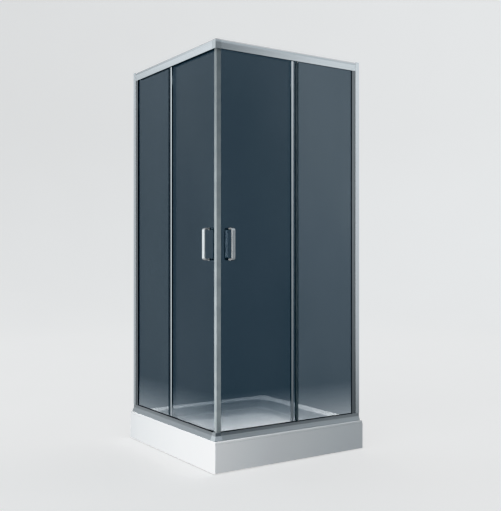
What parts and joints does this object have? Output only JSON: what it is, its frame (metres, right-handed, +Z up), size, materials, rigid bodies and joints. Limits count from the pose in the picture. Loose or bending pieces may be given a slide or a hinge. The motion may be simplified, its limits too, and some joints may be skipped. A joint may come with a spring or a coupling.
{
  "type": "shower enclosure",
  "caption": "Square corner-entry shower enclosure: glazed sliding doors on rollers in chrome rails, standing on a white tray with apron panels, bar handles and a drain.",
  "frame": {"origin": "on the floor under the middle of the square tray", "axes": "+Z up; +X along the right-hand glazed side from the front corner to its wall; +Y along the left-hand glazed side from the front corner to its wall. The glazed sides face -Y and -X, the walls are at +X and +Y."},
  "size_m": [0.9, 0.9, 2.014],
  "materials": {
    "white_acrylic": "glossy white sanitary acrylic",
    "white_apron": "glossy white acrylic panel",
    "base_board": "particle board laminated under the basin",
    "black_plastic": "moulded black plastic",
    "white_plastic": "moulded white plastic",
    "grey_plastic": "moulded grey plastic",
    "zinc_steel": "zinc-plated steel",
    "polished_steel": "polished stainless steel",
    "chrome_metal": "bright chrome plate",
    "bright_rail": "polished anodised aluminium with a chrome look",
    "grey_profile": "satin anodised aluminium, dark grey",
    "chrome_plastic": "chrome-plated plastic",
    "tinted_glass": "toughened safety glass, blue-grey tint",
    "clear_vinyl": "clear soft vinyl",
    "magnet": "flexible magnet strip",
    "black_rubber": "black rubber",
    "white_wheel": "hard white plastic"
  },
  "bodies": {
    "frame_and_tray": {"tray_shell": "white_acrylic", "tray_base_board": "base_board", "leg_sockets": "black_plastic", "leg_studs": "zinc_steel", "foot_pads": "black_plastic", "apron_right": "white_apron", "apron_left": "white_apron", "apron_brackets": "zinc_steel", "waste_flange": "polished_steel", "waste_gasket": "black_rubber", "waste_trap": "white_plastic", "top_rail_right": "bright_rail", "top_rail_left": "bright_rail", "bottom_rail_right": "bright_rail", "bottom_rail_left": "bright_rail", "top_corner_joint": "chrome_plastic", "bottom_corner_joint": "chrome_plastic", "wall_profile_right": "bright_rail", "wall_profile_left": "bright_rail", "side_profiles": "grey_profile", "frame_screws": "polished_steel", "fixed_glass_right": "tinted_glass", "fixed_glass_left": "tinted_glass", "fixed_edge_trims": "bright_rail", "glazing_gaskets": "black_rubber", "door_stops": "black_rubber"},
    "door_right": {"door_glass_right": "tinted_glass", "magnetic_seal_right": "clear_vinyl", "magnet_strip_right": "magnet", "rear_seal_right": "clear_vinyl", "handle_outer_right": "chrome_metal", "handle_inner_right": "chrome_metal", "glass_bushes_right": "clear_vinyl", "hanger_bolts_right": "polished_steel", "roller_brackets_right": "white_plastic", "door_bolts_right": "polished_steel"},
    "top_wheel_front_right": {"top_wheel_front_right": "white_wheel"},
    "bottom_wheel_front_right": {"bottom_wheel_front_right": "white_wheel"},
    "release_carriage_front_right": {"release_carriage_front_right": "grey_plastic"},
    "top_wheel_rear_right": {"top_wheel_rear_right": "white_wheel"},
    "bottom_wheel_rear_right": {"bottom_wheel_rear_right": "white_wheel"},
    "release_carriage_rear_right": {"release_carriage_rear_right": "grey_plastic"},
    "door_left": {"door_glass_left": "tinted_glass", "magnetic_seal_left": "clear_vinyl", "magnet_strip_left": "magnet", "rear_seal_left": "clear_vinyl", "handle_outer_left": "chrome_metal", "handle_inner_left": "chrome_metal", "glass_bushes_left": "clear_vinyl", "hanger_bolts_left": "polished_steel", "roller_brackets_left": "white_plastic", "door_bolts_left": "polished_steel"},
    "top_wheel_front_left": {"top_wheel_front_left": "white_wheel"},
    "bottom_wheel_front_left": {"bottom_wheel_front_left": "white_wheel"},
    "release_carriage_front_left": {"release_carriage_front_left": "grey_plastic"},
    "top_wheel_rear_left": {"top_wheel_rear_left": "white_wheel"},
    "bottom_wheel_rear_left": {"bottom_wheel_rear_left": "white_wheel"},
    "release_carriage_rear_left": {"release_carriage_rear_left": "grey_plastic"},
    "trap_insert": {"trap_insert": "grey_plastic"},
    "drain_cover": {"drain_cover": "chrome_metal"}
  },
  "joints": [
    {"name": "right_door_slide", "type": "slide", "parent": "frame_and_tray", "child": "door_right", "axis": [1, 0, 0], "range_m": [0, 0.335]},
    {"name": "top_wheel_front_right_spin", "type": "hinge", "parent": "door_right", "child": "top_wheel_front_right", "pos_m": [-0.357, -0.402, 1.9942], "axis": [0, 1, 0], "range_deg": [0, 1680]},
    {"name": "release_carriage_front_right_lift", "type": "slide", "parent": "door_right", "child": "release_carriage_front_right", "axis": [0, 0, 1], "range_m": [0, 0.004], "stiffness_N_per_m": 600, "springref_m": -0.005},
    {"name": "bottom_wheel_front_right_spin", "type": "hinge", "parent": "release_carriage_front_right", "child": "bottom_wheel_front_right", "pos_m": [-0.357, -0.402, 0.1653], "axis": [0, 1, 0], "range_deg": [0, 2410]},
    {"name": "top_wheel_rear_right_spin", "type": "hinge", "parent": "door_right", "child": "top_wheel_rear_right", "pos_m": [0.008, -0.402, 1.9942], "axis": [0, 1, 0], "range_deg": [0, 1680]},
    {"name": "release_carriage_rear_right_lift", "type": "slide", "parent": "door_right", "child": "release_carriage_rear_right", "axis": [0, 0, 1], "range_m": [0, 0.004], "stiffness_N_per_m": 600, "springref_m": -0.005},
    {"name": "bottom_wheel_rear_right_spin", "type": "hinge", "parent": "release_carriage_rear_right", "child": "bottom_wheel_rear_right", "pos_m": [0.008, -0.402, 0.1653], "axis": [0, 1, 0], "range_deg": [0, 2410]},
    {"name": "left_door_slide", "type": "slide", "parent": "frame_and_tray", "child": "door_left", "axis": [0, 1, 0], "range_m": [0, 0.335]},
    {"name": "top_wheel_front_left_spin", "type": "hinge", "parent": "door_left", "child": "top_wheel_front_left", "pos_m": [-0.402, -0.357, 1.9942], "axis": [-1, 0, 0], "range_deg": [0, 1680]},
    {"name": "release_carriage_front_left_lift", "type": "slide", "parent": "door_left", "child": "release_carriage_front_left", "axis": [0, 0, 1], "range_m": [0, 0.004], "stiffness_N_per_m": 600, "springref_m": -0.005},
    {"name": "bottom_wheel_front_left_spin", "type": "hinge", "parent": "release_carriage_front_left", "child": "bottom_wheel_front_left", "pos_m": [-0.402, -0.357, 0.1653], "axis": [-1, 0, 0], "range_deg": [0, 2410]},
    {"name": "top_wheel_rear_left_spin", "type": "hinge", "parent": "door_left", "child": "top_wheel_rear_left", "pos_m": [-0.402, 0.008, 1.9942], "axis": [-1, 0, 0], "range_deg": [0, 1680]},
    {"name": "release_carriage_rear_left_lift", "type": "slide", "parent": "door_left", "child": "release_carriage_rear_left", "axis": [0, 0, 1], "range_m": [0, 0.004], "stiffness_N_per_m": 600, "springref_m": -0.005},
    {"name": "bottom_wheel_rear_left_spin", "type": "hinge", "parent": "release_carriage_rear_left", "child": "bottom_wheel_rear_left", "pos_m": [-0.402, 0.008, 0.1653], "axis": [-1, 0, 0], "range_deg": [0, 2410]},
    {"name": "trap_insert_lift", "type": "slide", "parent": "frame_and_tray", "child": "trap_insert", "axis": [0, 0, 1], "range_m": [0, 0.075]},
    {"name": "drain_cover_lift", "type": "slide", "parent": "trap_insert", "child": "drain_cover", "axis": [0, 0, 1], "range_m": [0, 0.03]}
  ],
  "couplings": [
    {"joint": "top_wheel_front_right_spin", "follows": "right_door_slide", "rad_per_m": 86.957},
    {"joint": "bottom_wheel_front_right_spin", "follows": "right_door_slide", "rad_per_m": 125},
    {"joint": "top_wheel_rear_right_spin", "follows": "right_door_slide", "rad_per_m": 86.957},
    {"joint": "bottom_wheel_rear_right_spin", "follows": "right_door_slide", "rad_per_m": 125},
    {"joint": "top_wheel_front_left_spin", "follows": "left_door_slide", "rad_per_m": 86.957},
    {"joint": "bottom_wheel_front_left_spin", "follows": "left_door_slide", "rad_per_m": 125},
    {"joint": "top_wheel_rear_left_spin", "follows": "left_door_slide", "rad_per_m": 86.957},
    {"joint": "bottom_wheel_rear_left_spin", "follows": "left_door_slide", "rad_per_m": 125}
  ]
}
